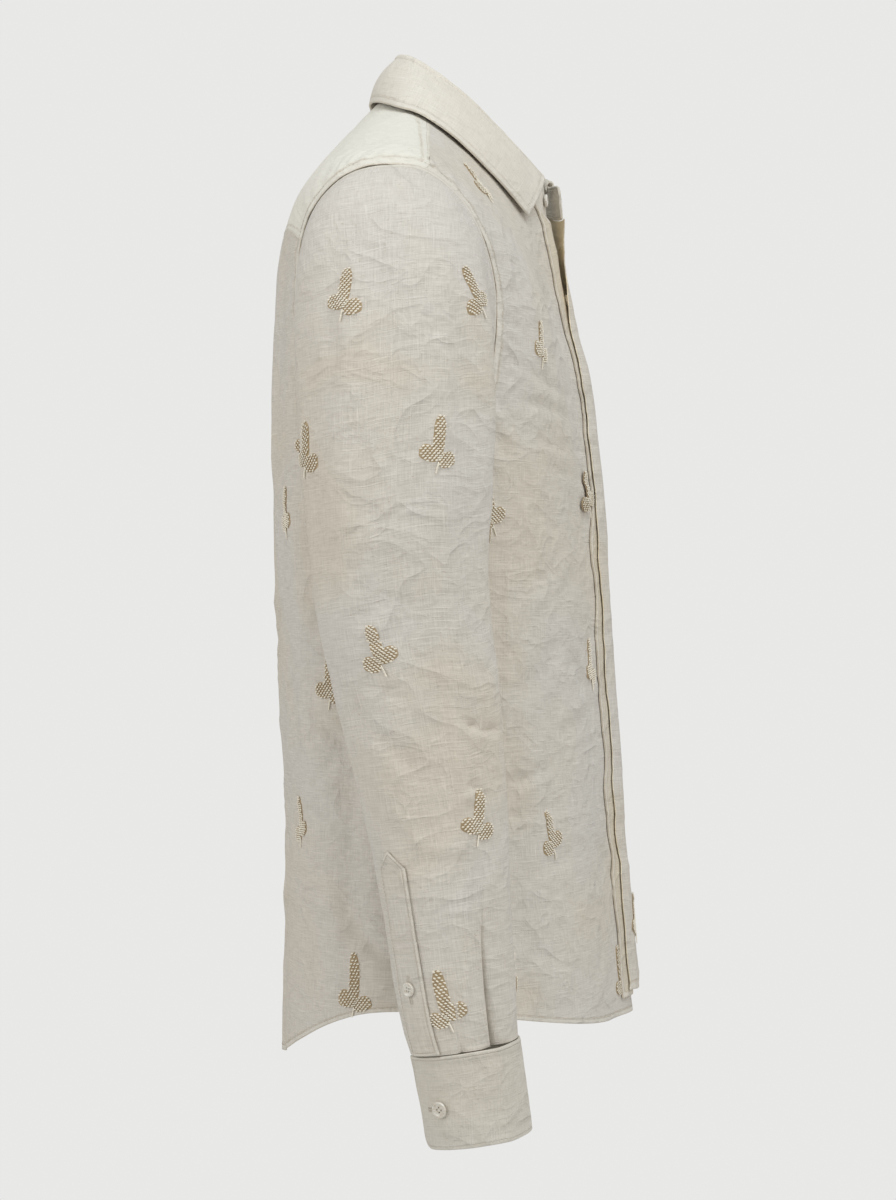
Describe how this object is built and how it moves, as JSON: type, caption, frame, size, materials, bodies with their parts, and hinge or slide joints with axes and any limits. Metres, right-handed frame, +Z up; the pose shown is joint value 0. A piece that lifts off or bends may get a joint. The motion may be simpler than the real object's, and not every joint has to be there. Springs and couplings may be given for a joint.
{
  "type": "shirt",
  "caption": "Loose long-sleeved linen shirt with a turned-down collar, hidden button front, buttoned cuffs, curved hem and scattered embroidered leaf sprigs.",
  "frame": {"origin": "middle of the neck opening at the height of the side of the neck, where the wearer's neck and shoulders hold the shirt", "axes": "+Z up along the wearer, -Y towards the wearer's front, -X towards the wearer's right arm"},
  "size_m": [0.6078, 0.2852, 0.8024],
  "materials": {
    "linen": "matte",
    "band_linen": "matte",
    "button_shell": "satin"
  },
  "bodies": {
    "root": {"back": "linen", "yoke": "linen", "front_right": "linen", "front_left": "linen", "fly_strip": "linen", "sleeve_right": "linen", "sleeve_left": "linen", "sleeve_placket_right": "linen", "sleeve_placket_left": "linen", "cuff_right": "band_linen", "cuff_left": "band_linen", "collar_stand": "band_linen", "collar_fall": "band_linen", "collar_button": "button_shell", "cuff_button_right": "button_shell", "cuff_button_left": "button_shell", "guard_button_right": "button_shell", "guard_button_left": "button_shell", "fly_button_1": "button_shell", "fly_button_2": "button_shell", "fly_button_3": "button_shell", "fly_button_4": "button_shell", "fly_button_5": "button_shell", "fly_button_6": "button_shell"}
  },
  "joints": []
}
